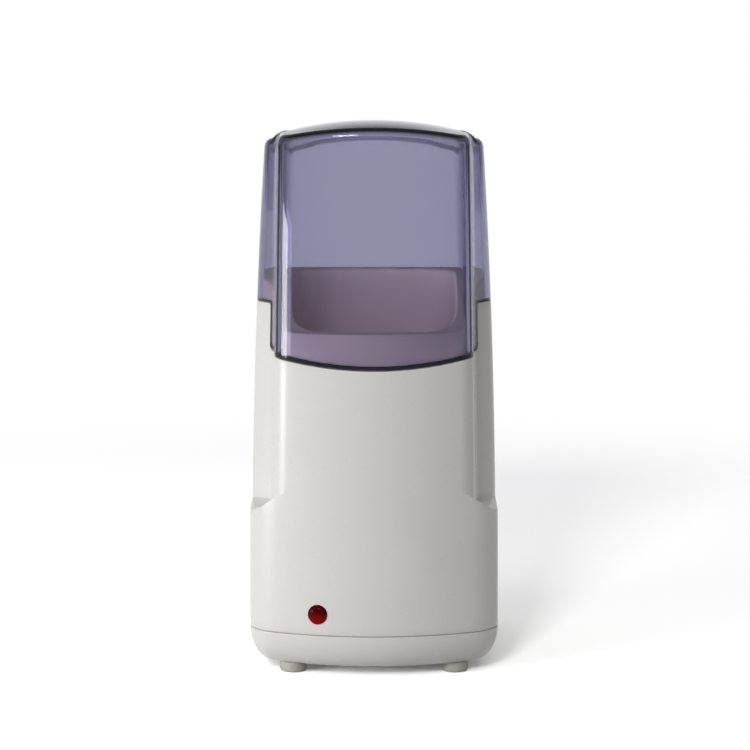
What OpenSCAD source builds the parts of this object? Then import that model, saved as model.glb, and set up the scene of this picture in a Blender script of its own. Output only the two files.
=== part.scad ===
// Yogurt maker for one tall gable-top carton of milk.
// X is left to right, -Y is the front, +Z is up, and the feet stand on z = 0.

/* [Carton] */
// Width and depth of the milk carton
carton_w = 70; // [66:1:84]
// Height of the milk carton
carton_h = 234; // [200:1:285]
// Gap between the carton and the well, at the floor of the well
carton_gap = 4; // [3:0.5:6]
// Gap between the top of the carton and the inside of the hood
carton_headroom = 6.1; // [3:0.1:10]

/* [Body] */
// Wall of the body shell
shell_wall = 2.5; // [2:0.1:3.2]
// Room between the well and the body shell at each side
side_room = 18; // [17:0.5:30]
// Room between the well and the body shell at the front
front_room = 16; // [16:0.5:22]
// Room between the well and the body shell at the rear
rear_room = 19.5; // [19:0.5:30]
// How far each side leans in, from the seam to the crest of the hood
side_lean = 8; // [5:0.5:9]
// How far the front leans back, from the seam to the crest
front_lean = 15; // [10:0.5:16]
// How far the rear leans forward, from the seam to the crest
rear_lean = 15; // [10:0.5:16]
// Height of the rim of the body at the sides and the rear
rim_z = 192; // [170:1:228]
// How far the rim dips at the front
rim_dip = 23; // [14:1:25]
// Height of the shoulders at the sides of the front panel
shoulder_z = 91; // [78:1:110]
// Half width of the front panel above the shoulders, at the seam
panel_half = 51.5; // [48:0.5:54]
// Distance of the side panels behind the front face
panel_step = 32; // [26:1:36]

/* [Base] */
// Height of the seam between the body shell and the base cover
seam_z = 22.3; // [22:0.1:27]
// Height of the underside of the base cover
base_z = 5.3; // [4:0.1:6.2]
// Floor of the base cover
base_floor = 2.7; // [2.2:0.1:3.2]
// Height of the rounded lower edge of the base cover
base_round = 16; // [10:0.5:16.5]
// Diameter of a foot
foot_d = 13.5; // [11:0.5:16.2]

/* [Hood] */
// Wall of the clear hood
hood_wall = 2.2; // [1.8:0.1:2.7]
// Gap between the hood and the lip of the body
hood_fit = 0.6; // [0.4:0.1:1]
// Overlap of the hood on the lip at the sides and the rear
hood_lap = 11; // [7:0.5:12]
// Drop of the front skirt of the hood below its side edges
skirt_drop = 29; // [24:0.5:32]
// Rounding of the upper edges of the hood
hood_edge_r = 4.5; // [3.5:0.1:6]

/* [Well and heater] */
// Wall and floor of the carton well
well_wall = 2; // [1.6:0.1:2.4]
// Length of the rounding at each corner of the well
well_corner = 14; // [10:1:14]
// Flare of the well from its floor to its rim
well_flare = 3; // [2:0.1:3.2]
// Thickness of the aluminium heater plate
plate_t = 1.4; // [1:0.1:1.8]
// Thickness of the heating mat
mat_t = 1.5; // [1.2:0.1:1.8]
// Thickness of the insulation pad
pad_t = 2.6; // [2:0.1:3]

/* [Lamp and cord inlet] */
// Diameter of the pilot lamp lens
lamp_d = 9.4; // [8:0.1:11.3]
// Distance of the lamp to the left of the middle
lamp_left = 27.5; // [22:0.5:30]
// Height of the lamp
lamp_z = 32.5; // [31:0.5:40]
// Diameter of the hole through the cord gland
cord_bore_d = 6.4; // [5.4:0.1:7.8]

/* [Hidden] */
$fn = 64;

// The well and the outline of the body, worked out from the carton
well_half = carton_w / 2 + carton_gap;
well_out = well_half + well_wall;
body_half = well_out + side_room + shell_wall;
body_depth = 2 * well_out + front_room + rear_room + 2 * shell_wall;
gland_out = 2;
body_front = -(body_depth + gland_out) / 2;
body_rear = body_front + body_depth;
well_y = body_front + shell_wall + front_room + well_out;

// Heights of the heater stack, from the well downwards
well_floor_z = 28;
well_base_z = well_floor_z - well_wall;
plate_z = well_base_z - plate_t;
mat_z = plate_z - mat_t;
pad_z = mat_z - pad_t;
clamp_t = 1;
clamp_z = pad_z - clamp_t;
floor_z = base_z + base_floor;
crest_z = well_floor_z + carton_h + carton_headroom + hood_wall;

// Hood edges and the lip that they cover
lip_inset = hood_wall + hood_fit;
hood_side_z = rim_z - hood_lap;
skirt_z = hood_side_z - skirt_drop;
ledge_gap = 0.5;
flange_t = 2.5;

// Outline of the body in plan
front_curve = 0.00415;
front_reach = 0.86;
lower_half = panel_half + 2.8;
lower_chamfer = 10.5;
side_spread = 0.8;

// Screws and bosses
screw_core = 1.25;
screw_fit = 0.05;
screw_head_r = 3;
boss_r = 4;
boss_x = well_out + boss_r + 5.5;
boss_front_y = well_y - 24;
boss_rear_y = well_y + 32;
pillar_top = seam_z + 0.1;
head_seat_z = base_z + 5;
foot_x = well_half + 1;
foot_front_y = well_y - 37;
foot_rear_y = well_y + 46;

function lean(z, total, power) =
    total * pow(max(0, z - seam_z) / (crest_z - seam_z), power);
function front_y(z) = body_front + lean(z, front_lean, 1.2);
function rear_y(z) = body_rear - lean(z, rear_lean, 1.2);
function side_x(z) = body_half - lean(z, side_lean, 2.2);
function bow(x) = front_curve * x * x;
function middle_y(z, half) =
    let (reach = front_reach * half)
    front_y(z) - bow(reach);

// Corners of the plan outline: [x, y, length of the rounding] for the right half
function upper_corners(z) =
    let (panel_x = panel_half - lean(z, 4, 1),
         step_y = front_y(z) + panel_step,
         corner_x = panel_x - 1,
         wing_x = side_x(z))
    [[0, middle_y(z, corner_x), 0],
     [corner_x, front_y(z) + bow(corner_x) * (2 * front_reach - pow(front_reach, 2)), 0],
     [panel_x, step_y, 3],
     [wing_x, step_y + 1.5 * (wing_x - panel_x), 5],
     [wing_x + side_spread, rear_y(z), 14]];
function lower_corners(z) =
    let (wing_x = side_x(z),
         corner_y = front_y(z) + bow(lower_half) * (2 * front_reach - pow(front_reach, 2)),
         chamfer_y = corner_y + lower_chamfer)
    [[0, middle_y(z, lower_half), 0],
     [lower_half, corner_y, 0],
     [(lower_half + wing_x) / 2, (corner_y + chamfer_y) / 2, 1],
     [wing_x, chamfer_y, 5],
     [wing_x + side_spread, rear_y(z), 14]];

function mirrored(c) =
    concat(c, [for (k = [len(c) - 1:-1:1]) [-c[k][0], c[k][1], c[k][2]]]);
function flat(c) = [c[0], c[1]];
function unit(v) = v / norm(v);
function left_of(v) = [-v[1], v[0]];

// Moves every edge of a closed outline inwards by the same amount
function inset_corners(c, by) =
    let (n = len(c))
    [for (k = [0:n - 1])
        let (here = flat(c[k]),
             before = left_of(unit(here - flat(c[(k + n - 1) % n]))),
             after = left_of(unit(flat(c[(k + 1) % n]) - here)),
             moved = here + by * (before + after) / (1 + before * after))
        [moved[0], moved[1], c[k][2]]];

function curve(from, corner, to, steps) =
    [for (s = [0:steps]) let (t = s / steps)
        pow(1 - t, 2) * from + 2 * t * (1 - t) * corner + t * t * to];

// Number of steps in the rounding of the middle, and of each corner after it
corner_steps = [14, 5, 3, 4, 7];
function steps_at(k, n) = corner_steps[k < len(corner_steps) ? k : n - k];

function rounding(c, k, side) =
    let (n = len(c),
         other = flat(c[(k + n + side) % n]) - flat(c[k]),
         at_front = k == 0 || (k == 1 && side < 0) || (k == n - 1 && side > 0),
         at_edge = (1 - front_reach - 0.004) * norm(flat(c[1]) - flat(c[0])),
         size = k == 0 ? front_reach * norm(other)
              : at_front ? at_edge
              : k == 1 || k == n - 1 ? min(at_edge, 0.75 * norm(other))
              : min(c[k][2], 0.47 * norm(other)))
    flat(c[k]) + size * unit(other);

function rounded(c) =
    let (n = len(c))
    [for (k = [0:n - 1])
        for (p = curve(rounding(c, k, -1), flat(c[k]), rounding(c, k, 1), steps_at(k, n))) p];

function upper_outline(z, inset) = rounded(inset_corners(mirrored(upper_corners(z)), inset));
function lower_outline(z, inset) = rounded(inset_corners(mirrored(lower_corners(z)), inset));
function at_height(outline, z) = [for (p = outline) [p[0], p[1], z]];

// A closed solid through a stack of rings that all have the same number of points. A level
// end is one face, and any other end is closed by triangles about its middle.
function is_level(ring) = max([for (p = ring) abs(p[2] - ring[0][2])]) < 0.0001;
function middle_of(ring) =
    [for (a = [0:2]) (min([for (p = ring) p[a]]) + max([for (p = ring) p[a]])) / 2];
module skin(rings) {
    n = len(rings[0]);
    m = len(rings);
    top = (m - 1) * n;
    points = concat([for (ring = rings) for (p = ring) p],
        [middle_of(rings[0]), middle_of(rings[m - 1])]);
    faces = concat(
        [for (j = [0:m - 2]) for (k = [0:n - 1])
            [j * n + k, (j + 1) * n + k, (j + 1) * n + (k + 1) % n]],
        [for (j = [0:m - 2]) for (k = [0:n - 1])
            [j * n + k, (j + 1) * n + (k + 1) % n, j * n + (k + 1) % n]],
        is_level(rings[0])
            ? [[for (k = [0:n - 1]) k]]
            : [for (k = [0:n - 1]) [m * n, k, (k + 1) % n]],
        is_level(rings[m - 1])
            ? [[for (k = [n - 1:-1:0]) top + k]]
            : [for (k = [0:n - 1]) [m * n + 1, top + (k + 1) % n, top + k]]);
    polyhedron(points, faces, convexity = 8);
}

function heights(from, to, steps) = [for (s = [0:steps]) from + (to - from) * s / steps];

module upper_body(from, to, inset) {
    skin([for (z = heights(from, to, 7)) at_height(upper_outline(z, inset), z)]);
}

// Everything between two levels. A skin that runs past them is cut to one flat face there.
cut_room = 1;
module between(low, high) {
    translate([-body_depth, -body_depth, low])
        cube([2 * body_depth, 2 * body_depth, high - low]);
}

// The whole height of the body: the lower outline up to the sloping shoulders beside the
// front panel, then the upper outline
function shoulder_at(x) = shoulder_z - 0.7 * max(0, abs(x) - panel_half + 5);
module whole_body(from, to, inset) {
    low = [for (p = lower_outline(shoulder_z, inset)) shoulder_at(p[0]) - 0.7 - 0.8 * inset];
    high = [for (p = upper_outline(shoulder_z, inset)) shoulder_at(p[0]) + 0.7 - 0.8 * inset];
    skin(concat(
        [at_height(lower_outline(from, inset), from - cut_room)],
        [for (t = heights(0, 1, 2))
            [for (k = [0:len(low) - 1])
                let (z = from + t * (low[k] - from), p = lower_outline(z, inset)[k])
                [p[0], p[1], z]]],
        [for (t = heights(0, 1, 6))
            [for (k = [0:len(high) - 1])
                let (z = high[k] + t * (to - high[k]), p = upper_outline(z, inset)[k])
                [p[0], p[1], z]]]));
}

// Height of the rim of the body, which dips smoothly at the front
function smooth(t) = let (u = min(1, max(0, t))) u * u * (3 - 2 * u);
dip_from = well_y - 2;
dip_to = front_y(rim_z) + lip_inset + 2;
function rim_at(y) = rim_z - rim_dip * smooth((dip_from - y) / (dip_from - dip_to));

module below_rim(lowered) {
    reach = body_depth;
    rows = heights(dip_to - 6, dip_from, 20);
    rotate([90, 0, 90])
        linear_extrude(2 * body_half + 20, center = true)
            polygon(concat([[-reach, 0], [-reach, rim_at(dip_to) - lowered]],
                [for (y = rows) [y, rim_at(y) - lowered]],
                [[reach, rim_z - lowered], [reach, 0]]));
}

// Everything under the lower edge of the hood: a level edge at the sides and the rear,
// and a skirt with a bowed edge on the front panel
module below_hood_edge(raised) {
    step_y = front_y(hood_side_z) + panel_step;
    half = body_half + 10;
    translate([-half, step_y + raised, -1])
        cube([2 * half, body_depth, hood_side_z + 1 + raised]);
    rotate([90, 0, 0])
        linear_extrude(2 * body_depth, center = true)
            polygon(concat([[-half, -1]],
                [for (x = heights(-half, half, 28)) [x, skirt_z + raised + 0.0023 * x * x]],
                [[half, -1]]));
}

module at_bosses() {
    for (side = [-1, 1], y = [boss_front_y, boss_rear_y])
        translate([side * boss_x, y, 0])
            children();
}

// The pilot lamp sits square to the bowed front wall
lamp_turn = atan(-2 * front_curve * lamp_left);
lamp_wall_y = front_y(lamp_z) + bow(lamp_left);
lamp_fit = 0.15;
module at_lamp() {
    translate([-lamp_left, lamp_wall_y, lamp_z])
        rotate([0, 0, lamp_turn])
            rotate([-90, 0, 0])
                children();
}

// Cord gland in the rear wall
gland_x = 24;
gland_z = 31.5;
gland_neck_r = cord_bore_d / 2 + 1.8;
gland_flange_r = gland_neck_r + 2;
gland_collar = 2;

// Circuit board between the front wall and the well
board_t = 1.6;
board_w = 28;
board_h = 19;
board_gap = 2.2;
board_y = well_y - well_out - board_gap - board_t;
board_post_x = board_w / 2 - 3.5;
board_post_r = 2.6;
board_screw_core = 0.95;

module body_shell() {
    color("ivory")
        difference() {
            union() {
                difference() {
                    union() {
                        intersection() {
                            whole_body(seam_z, rim_z, 0);
                            between(seam_z, crest_z);
                            translate([0, 0, -ledge_gap])
                                below_hood_edge(0);
                        }
                        intersection() {
                            upper_body(skirt_z - 8, rim_z, lip_inset);
                            below_rim(flange_t);
                        }
                    }
                    shell_cavity();
                }
                shell_bosses();
            }
            at_bosses()
                cylinder(r = screw_core + screw_fit, h = pillar_top + 16);
            for (side = [-1, 1])
                translate([-lamp_left + side * board_post_x, board_y + 1, lamp_z])
                    rotate([90, 0, 0])
                        cylinder(r = board_screw_core + screw_fit, h = 4.5);
            at_lamp()
                translate([0, 0, -6])
                    cylinder(r = lamp_d / 2 + lamp_fit, h = 14);
            translate([gland_x, body_rear - 10, gland_z])
                rotate([-90, 0, 0])
                    cylinder(r = gland_neck_r + 0.1, h = 20);
        }
}

module shell_cavity() {
    union() {
        intersection() {
            whole_body(seam_z, rim_z, shell_wall);
            translate([0, 0, -ledge_gap - shell_wall])
                below_hood_edge(0);
        }
        upper_body(skirt_z - 12, rim_z + 1, lip_inset + shell_wall);
    }
}

// Screw bosses with their ribs, and the posts of the circuit board, which all end
// inside the wall
module shell_bosses() {
    half_wall = shell_wall / 2;
    at_bosses()
        translate([0, 0, pillar_top + 0.1])
            cylinder(r = boss_r, h = 28);
    for (side = [-1, 1], y = [boss_front_y, boss_rear_y])
        translate([side > 0 ? boss_x : -body_half + half_wall, y - 1, seam_z + 5])
            cube([body_half - half_wall - boss_x, 2, 23]);
    for (x = [-lamp_left - board_post_x, -lamp_left + board_post_x])
        translate([x, board_y, lamp_z])
            rotate([90, 0, 0])
                cylinder(r = board_post_r, h = board_y - front_y(lamp_z) - bow(x) - half_wall);
}

// The base cover: a dished tray with a tongue that rises inside the body shell
tongue_top = seam_z + 3.5;
tongue_t = 1.6;
tongue_gap = 0.3;
round_depth = 11;
function base_inset(z) =
    let (t = min(1, max(0, (base_z + base_round - z) / base_round)))
    round_depth * (1 - sqrt(1 - pow(0.985 * t, 2)));

tray_top = seam_z - 0.4;
tray_bend = base_z + base_round;
function tray_ring(z, inset) = at_height(lower_outline(seam_z, inset), z);

clamp_post_x = 9;
clamp_post_r = 3.2;
clamp_post_top = gland_z + cord_bore_d / 2 - 0.3;
clamp_bar_t = 2.4;
clamp_y = well_y + well_out + rear_room / 2 + 0.5;
small_core = 1.1;
foot_stem_r = 2.5;

module base_cover() {
    inner = shell_wall + tongue_gap + tongue_t;
    rows = [for (a = [0:18:72]) 1 - cos(a)];
    color("ivory")
        difference() {
            union() {
                difference() {
                    intersection() {
                        skin(concat(
                            [tray_ring(base_z - cut_room, base_inset(base_z))],
                            [for (t = rows) let (z = base_z + t * base_round)
                                tray_ring(z, base_inset(z))],
                            [tray_ring(tray_bend, 0), tray_ring(tray_top, 0),
                             tray_ring(tray_top, shell_wall + tongue_gap),
                             tray_ring(tongue_top + cut_room, shell_wall + tongue_gap)]));
                        between(base_z, tongue_top);
                    }
                    intersection() {
                        skin(concat(
                            [tray_ring(floor_z - cut_room, inner + base_inset(floor_z) - 1)],
                            [for (t = rows) let (z = floor_z + t * (tray_bend - floor_z))
                                tray_ring(z, inner + base_inset(z) - 1)],
                            [tray_ring(tray_bend, inner),
                             tray_ring(tongue_top + 2 * cut_room, inner)]));
                        between(floor_z, crest_z);
                    }
                    translate([gland_x - 8, body_rear - 15, tray_top + 0.6])
                        cube([16, 20, 20]);
                }
                at_bosses()
                    translate([0, 0, floor_z - 1])
                        cylinder(r = boss_r + 0.4, h = pillar_top - floor_z + 1);
                for (side = [-1, 1])
                    translate([gland_x + side * clamp_post_x, clamp_y, floor_z - 1])
                        cylinder(r = clamp_post_r, h = clamp_post_top - floor_z + 1);
                translate([gland_x - clamp_post_x, clamp_y - 1, floor_z - 1])
                    cube([2 * clamp_post_x, 2, gland_z - cord_bore_d / 2 - floor_z]);
            }
            at_bosses()
                cylinder(r = screw_core + 0.4, h = pillar_top + 1);
            at_bosses()
                cylinder(r = screw_head_r + 0.3, h = head_seat_z);
            for (x = [-foot_x, foot_x], y = [foot_front_y, foot_rear_y])
                translate([x, y, 0])
                    cylinder(r = foot_stem_r + 0.05, h = floor_z + 1);
            for (side = [-1, 1])
                translate([gland_x + side * clamp_post_x, clamp_y, clamp_post_top - 9])
                    cylinder(r = small_core + screw_fit, h = 10);
            for (x = [-20:8:20])
                translate([x - 1.25, well_y - 36, 0])
                    cube([2.5, 18, floor_z + 1]);
        }
}

// Roof of the hood: arched from side to side, and highest a little in front of its middle
roof_top_y = front_y(crest_z) + 42;
roof_step_y = front_y(crest_z) + panel_step;
function roof_z(x, y) =
    let (back = smooth((y - roof_step_y) / 20 + (abs(x) - 44) / 6),
         arch = 7.1 + 1.8 * back,
         behind = max(0, y - roof_top_y) / 46,
         before = min(0, y - roof_top_y) / 38)
    crest_z - arch * pow(x / 50, 2) - 9 * pow(behind, 1.5) - 1.9 * pow(before, 2);

module hood_form(from, inset) {
    edge_r = hood_edge_r - inset;
    first = upper_outline(crest_z - 12, inset + edge_r);
    count = len(first);
    edge = [for (p = first) roof_z(p[0], p[1]) - inset - edge_r];
    rim = [for (k = [0:count - 1]) upper_outline(edge[k], inset + edge_r)[k]];
    side = [for (t = heights(0, 1, 5))
        [for (k = [0:count - 1])
            let (z = from + t * (edge[k] - from), p = upper_outline(z, inset)[k])
            [p[0], p[1], z]]];
    bend = [for (a = [25, 50, 72, 90])
        [for (k = [0:count - 1])
            let (p = upper_outline(edge[k], inset + edge_r * (1 - cos(a)))[k])
            [p[0], p[1], edge[k] + edge_r * sin(a)]]];
    middle_y = (front_y(crest_z) + rear_y(crest_z)) / 2;
    roof = [for (t = [0.05, 0.11, 0.18, 0.27, 0.4, 0.6, 0.8, 0.96])
        [for (p = rim) let (x = p[0] * (1 - t), y = p[1] + (middle_y - p[1]) * t)
            [x, y, roof_z(x, y) - inset]]];
    skin(concat(side, bend, roof));
}

module clear_hood() {
    color("mediumpurple", 0.5)
        difference() {
            hood_form(skirt_z - 4, 0);
            hood_form(skirt_z - 6, hood_wall);
            below_hood_edge(0);
        }
}

// The carton well: a tub with a flange that closes the top of the body shell
function tub_corners(half) =
    [for (c = [[1, -1], [1, 1], [-1, 1], [-1, -1]]) [c[0] * half, c[1] * half + well_y]];
function tub_ring(half) =
    let (c = tub_corners(half))
    [for (k = [0:3])
        let (back = c[k] + well_corner * unit(c[(k + 3) % 4] - c[k]),
             on = c[k] + well_corner * unit(c[(k + 1) % 4] - c[k]))
        for (p = curve(back, c[k], on, 8)) p];

lip_round = 1.8;
module tub_space() {
    wall_flare = well_flare - lip_round;
    low = at_height(tub_ring(well_half), well_floor_z);
    dropped = [for (drop = [4, 2.4, 1.2, 0.4, 0])
        let (open = lip_round * (1 - sqrt(1 - pow(1 - drop / 4, 2))))
        [for (p = tub_ring(well_half + wall_flare + open)) [p[0], p[1], rim_at(p[1]) - drop]]];
    above = at_height(tub_ring(well_half + well_flare), rim_z + 5);
    skin(concat([low], dropped, [above]));
}

stack_post = well_half - 10;
stack_post_r = 3;
stack_post_fit = 0.4;
module at_stack_posts() {
    for (x = [-stack_post, stack_post], y = [-stack_post, stack_post])
        translate([x, well_y + y, 0])
            children();
}

module carton_well() {
    tongue = lip_inset + shell_wall + 0.3;
    color("whitesmoke")
        difference() {
            union() {
                difference() {
                    intersection() {
                        upper_body(rim_z - rim_dip - 20, rim_z, lip_inset);
                        below_rim(0);
                    }
                    below_rim(flange_t);
                }
                difference() {
                    intersection() {
                        upper_body(rim_z - rim_dip - 20, rim_z, tongue);
                        below_rim(flange_t - 0.5);
                    }
                    below_rim(flange_t + 3);
                    upper_body(rim_z - rim_dip - 22, rim_z + 2, tongue + 1.5);
                }
                intersection() {
                    skin([at_height(tub_ring(well_half + well_wall), well_base_z),
                        at_height(tub_ring(well_out + well_flare - lip_round), rim_z)]);
                    below_rim(0);
                }
                at_stack_posts()
                    translate([0, 0, clamp_z + clamp_t])
                        cylinder(r = stack_post_r, h = well_base_z - clamp_z);
            }
            tub_space();
            at_stack_posts()
                translate([0, 0, clamp_z])
                    cylinder(r = small_core + screw_fit, h = 6);
        }
}

// Heater stack under the well
stack_hole_r = 9;
mat_half = stack_post - stack_post_r - 1;
module sheet_square(half, z, t) {
    translate([-half, well_y - half, z])
        cube([2 * half, 2 * half, t]);
}

module stack_hole() {
    translate([0, well_y, 0])
        cylinder(r = stack_hole_r, h = well_floor_z + 1);
}

module heater_plate() {
    color("silver")
        difference() {
            sheet_square(well_half - 4, plate_z, plate_t);
            at_stack_posts()
                cylinder(r = stack_post_r + stack_post_fit, h = well_floor_z);
        }
}

module heater_mat() {
    color("orangered")
        difference() {
            sheet_square(mat_half, mat_z, mat_t);
            stack_hole();
        }
}

module insulation_pad() {
    color("lightgray")
        difference() {
            sheet_square(mat_half, pad_z, pad_t);
            stack_hole();
        }
}

thermostat_y = well_y;
thermostat_ear = 12;
fuse_x = 19;
fuse_r = 2;
fuse_z = clamp_z - fuse_r - 0.9;
module clamp_plate() {
    color("lightsteelblue")
        difference() {
            sheet_square(well_half - 5, clamp_z, clamp_t);
            stack_hole();
            at_stack_posts()
                cylinder(r = small_core + 0.4, h = well_floor_z);
            for (side = [-1, 1])
                translate([side * thermostat_ear, thermostat_y, 0])
                    cylinder(r = board_screw_core + screw_fit, h = well_floor_z);
        }
}

module pan_screw(core, head_r, head_t, length) {
    cylinder(r = core, h = length);
    translate([0, 0, -head_t])
        difference() {
            cylinder(r1 = head_r * 0.8, r2 = head_r, h = head_t);
            for (turn = [0, 90])
                rotate([0, 0, turn])
                    translate([-head_r * 0.55, -head_r * 0.11, -0.1])
                        cube([head_r * 1.1, head_r * 0.22, head_t * 0.5]);
        }
}

module clamp_screws() {
    color("gainsboro")
        at_stack_posts()
            translate([0, 0, clamp_z])
                pan_screw(small_core, 2.3, 1.6, 5.5);
}

// A snap-disc thermostat that touches the heater plate
cap_r = 7.8;
ear_t = 0.8;
blade_w = 6.3;
module thermostat() {
    can_low = clamp_z - 6;
    color("dimgray")
        translate([0, thermostat_y, 0])
            difference() {
                union() {
                    translate([0, 0, can_low])
                        cylinder(r = cap_r, h = plate_z - can_low);
                    translate([-thermostat_ear - 3.5, -3.5, clamp_z - ear_t])
                        cube([2 * thermostat_ear + 7, 7, ear_t]);
                    for (side = [-1, 1])
                        translate([side * 4.5 - 0.4, -blade_w / 2, can_low - 3.6])
                            cube([0.8, blade_w, 4]);
                }
                for (side = [-1, 1])
                    translate([side * thermostat_ear, 0, clamp_z - 2])
                        cylinder(r = board_screw_core + 0.3, h = 4);
            }
}

module thermostat_screws() {
    color("gainsboro")
        for (side = [-1, 1])
            translate([side * thermostat_ear, thermostat_y, clamp_z - ear_t])
                pan_screw(board_screw_core, 1.9, 1.2, ear_t + clamp_t - 0.1);
}

module thermal_fuse() {
    length = 12;
    color("tan")
        translate([fuse_x, well_y, fuse_z])
            rotate([90, 0, 0]) {
                cylinder(r = fuse_r, h = length, center = true);
                cylinder(r = 0.5, h = length + 10, center = true);
            }
}

module fuse_clip() {
    strap = 0.6;
    width = 5;
    reach = 5;
    inside = fuse_r + 0.05;
    color("silver")
        difference() {
            union() {
                translate([fuse_x, well_y, fuse_z])
                    rotate([90, 0, 0])
                        cylinder(r = inside + strap, h = width, center = true);
                translate([fuse_x, well_y - width / 2, clamp_z - strap])
                    cube([inside + reach, width, strap]);
            }
            translate([fuse_x, well_y, fuse_z])
                rotate([90, 0, 0])
                    cylinder(r = inside, h = width + 1, center = true);
            translate([fuse_x - 5, well_y - width, clamp_z])
                cube([20, 2 * width, 5]);
        }
}

// Pilot lamp: a domed lens pushed through the wall and held by a ring behind it
lens_back = 6.5;
lens_dome = 1.7;
ring_t = 1.2;
module lamp_lens() {
    lens_r = lamp_d / 2;
    ball_r = (lens_r * lens_r + lens_dome * lens_dome) / (2 * lens_dome);
    color("darkred")
        at_lamp()
            difference() {
                union() {
                    translate([0, 0, -0.3])
                        cylinder(r = lens_r, h = lens_back + 0.3);
                    intersection() {
                        translate([0, 0, ball_r - lens_dome - 0.3])
                            sphere(r = ball_r);
                        translate([0, 0, -lens_dome - 1])
                            cylinder(r = lens_r, h = lens_dome + 2);
                    }
                }
                translate([0, 0, 1.4])
                    cylinder(r = lens_r - 1.2, h = lens_back);
            }
}

module lamp_ring() {
    color("dimgray")
        at_lamp()
            translate([0, 0, shell_wall + 0.35])
                difference() {
                    cylinder(r = lamp_d / 2 + 1.6, h = ring_t);
                    translate([0, 0, -1])
                        cylinder(r = lamp_d / 2 + 0.05, h = ring_t + 2);
                }
}

module lamp_bulb() {
    bulb_r = 2.6;
    color("mistyrose")
        at_lamp() {
            translate([0, 0, 4.2])
                sphere(r = bulb_r);
            translate([0, 0, 4.2])
                cylinder(r = bulb_r, h = lens_back - 4.4);
            translate([-1, 0, lens_back - 1])
                cylinder(r = 0.3, h = 1.6);
            translate([1, 0, lens_back - 1])
                cylinder(r = 0.3, h = 1.6);
        }
}

module circuit_board() {
    color("darkgreen")
        difference() {
            translate([-lamp_left - board_w / 2, board_y, lamp_z - board_h / 2 + 1.5])
                cube([board_w, board_t, board_h]);
            for (side = [-1, 1])
                translate([-lamp_left + side * board_post_x, board_y + 3, lamp_z])
                    rotate([90, 0, 0])
                        cylinder(r = board_screw_core + 0.2, h = 6);
        }
}

module dropper_resistor() {
    color("tan")
        translate([-lamp_left + 1, board_y - 1.4, lamp_z + 8.2]) {
            rotate([0, 90, 0])
                cylinder(r = 1.2, h = 8, center = true);
            rotate([0, 90, 0])
                cylinder(r = 0.3, h = 13, center = true);
            for (side = [-1, 1])
                translate([side * 6.2, 0, 0])
                    rotate([-90, 0, 0])
                        cylinder(r = 0.3, h = 1.4);
        }
}

module board_screws() {
    color("gainsboro")
        for (side = [-1, 1])
            translate([-lamp_left + side * board_post_x, board_y + board_t, lamp_z])
                rotate([90, 0, 0])
                    pan_screw(board_screw_core, 1.9, 1.3, board_t + 3.3);
}

// Terminal block where the leads meet
block_w = 22;
block_d = 11;
block_h = 10;
block_x = -22;
block_y = clamp_y - 3.5;
module terminal_block() {
    color("white")
        difference() {
            translate([block_x - block_w / 2, block_y - block_d / 2, floor_z])
                cube([block_w, block_d, block_h]);
            for (x = [-7, 0, 7]) {
                translate([block_x + x, block_y, floor_z + 5])
                    cylinder(r = 1.9, h = block_h);
                translate([block_x + x, block_y - block_d, floor_z + 3])
                    rotate([-90, 0, 0])
                        cylinder(r = 1.5, h = 2 * block_d);
            }
        }
}

module terminal_screws() {
    color("gold")
        for (x = [-7, 0, 7])
            translate([block_x + x, block_y, floor_z + 5])
                difference() {
                    cylinder(r = 1.8, h = 3.4);
                    translate([-2, -0.3, 2.5])
                        cube([4, 0.6, 2]);
                }
}

// Cord gland: a bush with a neck through the rear wall and a snap collar inside
module cord_gland() {
    wall_y = rear_y(gland_z - gland_flange_r);
    collar_y = rear_y(gland_z + gland_flange_r) - shell_wall - gland_collar;
    color("dimgray")
        translate([gland_x, 0, gland_z])
            rotate([-90, 0, 0])
                difference() {
                    union() {
                        translate([0, 0, wall_y + 0.05])
                            cylinder(r = gland_flange_r, h = body_rear + gland_out - wall_y - 0.05);
                        translate([0, 0, collar_y])
                            cylinder(r = gland_neck_r, h = wall_y - collar_y + 1);
                        translate([0, 0, collar_y])
                            cylinder(r = gland_neck_r + 0.8, h = gland_collar - 0.2);
                    }
                    translate([0, 0, wall_y - 20])
                        cylinder(r = cord_bore_d / 2, h = 40);
                }
}

module cord_clamp() {
    color("whitesmoke")
        difference() {
            translate([gland_x - clamp_post_x - 4, clamp_y - 3.5, clamp_post_top])
                cube([2 * clamp_post_x + 8, 7, clamp_bar_t]);
            for (side = [-1, 1])
                translate([gland_x + side * clamp_post_x, clamp_y, clamp_post_top - 1])
                    cylinder(r = small_core + 0.4, h = 5);
        }
}

module cord_clamp_screws() {
    color("gainsboro")
        for (side = [-1, 1])
            translate([gland_x + side * clamp_post_x, clamp_y, clamp_post_top + clamp_bar_t])
                rotate([180, 0, 0])
                    pan_screw(small_core, 2.3, 1.6, clamp_bar_t + 7);
}

module base_screws() {
    color("gainsboro")
        at_bosses()
            translate([0, 0, head_seat_z])
                pan_screw(screw_core, screw_head_r, 2.2, pillar_top + 12 - head_seat_z);
}

// A rubber foot with a stem that is pressed up through the floor of the base cover
module foot(x, y) {
    r = foot_d / 2;
    soft = 1.2;
    color("ivory")
        translate([x, y, 0])
            rotate_extrude()
                polygon(concat([[0, 0]],
                    [for (a = [0:15:90]) [r - soft + soft * sin(a), soft - soft * cos(a)]],
                    [[r, base_z], [foot_stem_r, base_z], [foot_stem_r, floor_z + 0.2],
                     [foot_stem_r + 0.6, floor_z + 0.2], [foot_stem_r - 0.6, floor_z + 1.6],
                     [0, floor_z + 1.6]]));
}

module foot_front_left() { foot(-foot_x, foot_front_y); }
module foot_front_right() { foot(foot_x, foot_front_y); }
module foot_rear_left() { foot(-foot_x, foot_rear_y); }
module foot_rear_right() { foot(foot_x, foot_rear_y); }

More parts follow.
